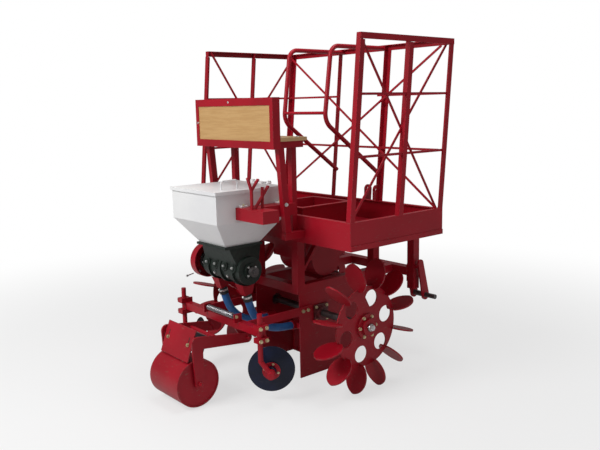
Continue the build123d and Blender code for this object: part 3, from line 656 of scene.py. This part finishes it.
# Racks: welded plates that close the gap between each post's inner leg and the rail above
rackSizes = {
    "outer": faceOf("rack_left", yAxis), "rim": faceOf("tray_walls", zAxis), "lean": 0.09, "leg": 30,
    "wall": 4, "inset": 3.5, "low": 1794.5, "high": 1822.3, "middle": 187,
    "posts": ((-700, 1), (-350, 1), (0, -1)),
}


def leanAt(z):
    return rackSizes["lean"] * (z - rackSizes["rim"])


def addLeaningPlate(bm, xEnds, yEnds):
    height = rackSizes["high"] - rackSizes["low"]
    level = (rackSizes["high"] + rackSizes["low"]) / 2
    middle = at(sum(xEnds) / 2 + leanAt(level), sum(yEnds) / 2, level)
    slant = Matrix.Identity(4)
    slant[0][2] = rackSizes["lean"]
    spans = [abs(xEnds[1] - xEnds[0]), abs(yEnds[1] - yEnds[0]), height]
    size = Matrix.Diagonal([*(span / 1000 for span in spans), 1])
    bmesh.ops.create_cube(bm, size=1, matrix=Matrix.Translation(middle) @ slant @ size)


bm = bmesh.new()
for sign in sides:
    outerLeg = [sign * (rackSizes["outer"] - rackSizes[key]) for key in ("inset", "leg")]
    for x, along in rackSizes["posts"]:
        addLeaningPlate(bm, (x, x + along * rackSizes["wall"]), outerLeg)
    middleLeg = (sign * rackSizes["middle"], sign * (rackSizes["middle"] + rackSizes["wall"]))
    addLeaningPlate(bm, (-rackSizes["inset"], -rackSizes["leg"]), middleLeg)
finishPiece("rack_top_plates", bm, "root", crimson)

# Brace ends: each brace runs on along its own line to the rim below and the rail above
braceSizes = {
    "low": 954, "high": 1790.7, "thin": 6, "wide": 12, "gap": 0.3, "overlap": 0.001, "sideRun": (-660, -40),
    "sideLine": 635.4, "frontHalf": 615.7, "frontLine": -45.6, "down": -22, "up": 26,
}


def addBraceEnds(bm, foot, head, crossways, reaches):
    along = (head - foot).normalized()
    side = (crossways - along * crossways.dot(along)).normalized()
    turn = Matrix((side, along.cross(side), along)).transposed().to_4x4()
    for reach in reaches:
        run = along * (reach / 1000 / along.z)
        size = Matrix.Diagonal((braceSizes["thin"] / 1000, braceSizes["wide"] / 1000,
                                run.length + 2 * braceSizes["overlap"], 1))
        middle = (foot if reach < 0 else head) + run * 0.5 - run.normalized() * braceSizes["overlap"]
        bmesh.ops.create_cube(bm, size=1, matrix=Matrix.Translation(middle) @ turn @ size)


bm = bmesh.new()
low, high = braceSizes["low"], braceSizes["high"]
crossing = braceSizes["thin"] + braceSizes["gap"]
for sign in sides:
    for step, (xLow, xHigh) in enumerate((braceSizes["sideRun"], braceSizes["sideRun"][::-1])):
        y = sign * (braceSizes["sideLine"] - step * crossing)
        foot, head = at(xLow + leanAt(low), y, low), at(xHigh + leanAt(high), y, high)
        addBraceEnds(bm, foot, head, Vector((0, 1, 0)), (braceSizes["down"], braceSizes["up"]))
for step, sign in enumerate(sides):
    line = braceSizes["frontLine"] - step * crossing
    foot = at(line + leanAt(low), sign * braceSizes["frontHalf"], low)
    head = at(line + leanAt(high), -sign * braceSizes["frontHalf"], high)
    addBraceEnds(bm, foot, head, Vector((1, 0, 0)), (braceSizes["down"],))
finishPiece("rack_brace_ends", bm, "root", crimson)
print("racks closed")

# Metering unit: drum covers, rate levers with knobs, oil caps and the adjusting rod
# Each row has its spots along the drum and its angle over the level, facing back
drumRadius = 0.074
meterRows = {"covers": ((-118, -40, 40, 118), 14), "levers": ((-78, 0, 78), 58), "caps": ((-60, 60), -24)}
# Radius, start, end and sides of each round, with a second radius where it tapers
meterShapes = {
    "coverRim": (0.027, -0.006, 0.007, 28, 0.0255), "coverTop": (0.0165, 0.007, 0.012, 24, 0.0150),
    "leverBoss": (0.0085, -0.004, 0.006, 20), "lever": (0.0034, 0.006, 0.040, 12),
    "cap": (0.0075, -0.003, 0.008, 6), "rod": (0.0030, 0, 0.044, 10), "rodEnd": (0.0065, 0.038, 0.046, 12),
}
coverBolt = {"seat": 0.012, "size": 0.011}
knobSizes = {"seat": 0.044, "radius": 0.0095, "around": 18, "rows": 12}


def onDrum(row):
    spots, degrees = meterRows[row]
    turn = math.radians(degrees)
    outward = Vector((-math.cos(turn), 0, math.sin(turn)))
    return [(onLine("metering_turn", y) + outward * drumRadius, outward) for y in spots]


def addShapes(bm, places, *shapes):
    for place, outward in places:
        for shape in shapes:
            addRound(bm, seatOn(place, outward), *meterShapes[shape])


bm = bmesh.new()
addShapes(bm, onDrum("covers"), "coverRim", "coverTop")
finishPiece("meter_covers", bm, "root", darkCasting)
bm = bmesh.new()
for place, outward in onDrum("covers"):
    addBolt(bm, place + outward * coverBolt["seat"], outward, coverBolt["size"])
addShapes(bm, onDrum("levers"), "leverBoss", "lever")
addShapes(bm, onDrum("caps"), "cap")
finishPiece("meter_fittings", bm, "root", brightZinc)
bm = bmesh.new()
for place, outward in onDrum("levers"):
    bmesh.ops.create_uvsphere(bm, u_segments=knobSizes["around"], v_segments=knobSizes["rows"],
                              radius=knobSizes["radius"],
                              matrix=Matrix.Translation(place + outward * knobSizes["seat"]))
finishPiece("meter_knobs", bm, "root", blackRubber)
bm = bmesh.new()
addShapes(bm, facing((-1, 0, -0.18), (-1033, 238, 592)), "rod", "rodEnd")
finishPiece("adjusting_rod", bm, "root", brightZinc)
print("metering unit fitted")


# Pale floor that fades to the white background, soft lamps
floorLook = {
    "half": 30, "drop": 0.0008, "colour": (0.66, 0.66, 0.66, 1), "rough": 0.9, "shine": 0.1, "fadeFrom": 1.2,
    "fadeTo": 4.2, "near": 0.62, "inGloss": 0.3,
}
worldLight = 0.27


def addStage(look):
    bm = bmesh.new()
    bmesh.ops.create_grid(bm, x_segments=2, y_segments=2, size=look["half"],
                          matrix=Matrix.Translation((0, 0, -look["drop"])))
    mesh = bpy.data.meshes.new("floor")
    bm.to_mesh(mesh)
    bm.free()
    floor = bpy.data.objects.new("floor", mesh)
    scene.collection.objects.link(floor)
    material, shader, coords = startFinish("paleFloor")
    distance = coords.node("VectorMath", {"operation": "LENGTH"}, {0: coords}, "Value")
    far = soften(distance, look["fadeFrom"], look["fadeTo"])
    path = coords.node("LightPath", {}, {}, "Is Camera Ray")
    glossy = coords.node("LightPath", {}, {}, "Is Glossy Ray")
    setShader(coords, shader, {
        "Base Color": look["colour"],
        "Roughness": look["rough"],
        "Specular IOR Level": look["shine"],
    })
    glow = coords.tree.nodes.new("ShaderNodeEmission")
    glow.inputs["Color"].default_value = (1, 1, 1, 1)
    mix = coords.tree.nodes.new("ShaderNodeMixShader")
    output = coords.tree.nodes["Material Output"]
    seen = (look["near"] + far * (1 - look["near"])) * (path + glossy * look["inGloss"])
    coords.tree.links.new(seen.socket, mix.inputs[0])
    coords.tree.links.new(shader.outputs[0], mix.inputs[1])
    coords.tree.links.new(glow.outputs[0], mix.inputs[2])
    coords.tree.links.new(mix.outputs[0], output.inputs["Surface"])
    mesh.materials.append(material)

    world = bpy.data.worlds.new("studio")
    scene.world = world
    world.use_nodes = True
    tree = world.node_tree
    sky = Wire(tree, tree.nodes.new("ShaderNodeLightPath").outputs["Is Camera Ray"])
    strength = worldLight + sky * (1 - worldLight)
    background = tree.nodes["Background"]
    background.inputs["Color"].default_value = (1, 1, 1, 1)
    tree.links.new(strength.socket, background.inputs["Strength"])


lamps = {
    "key": {"place": (-3.4, 0.2, 3.2), "size": 1.8, "power": 118},
    "fill": {"place": (0.6, -4.4, 2.2), "size": 3.0, "power": 16},
    "top": {"place": (0.2, -0.4, 4.4), "size": 2.2, "power": 74},
}
lampAim = Vector((0, 0, 0.8))


def addLamp(name, look):
    data = bpy.data.lights.new(name, "AREA")
    data.size = look["size"]
    data.energy = look["power"]
    lamp = bpy.data.objects.new(name, data)
    place = Vector(look["place"])
    turn = (lampAim - place).to_track_quat("-Z", "Y").to_matrix().to_4x4()
    lamp.matrix_world = Matrix.Translation(place) @ turn
    scene.collection.objects.link(lamp)


addStage(floorLook)
for name, look in lamps.items():
    addLamp(name, look)
scene.view_settings.view_transform = "Standard"
print("stage lit")
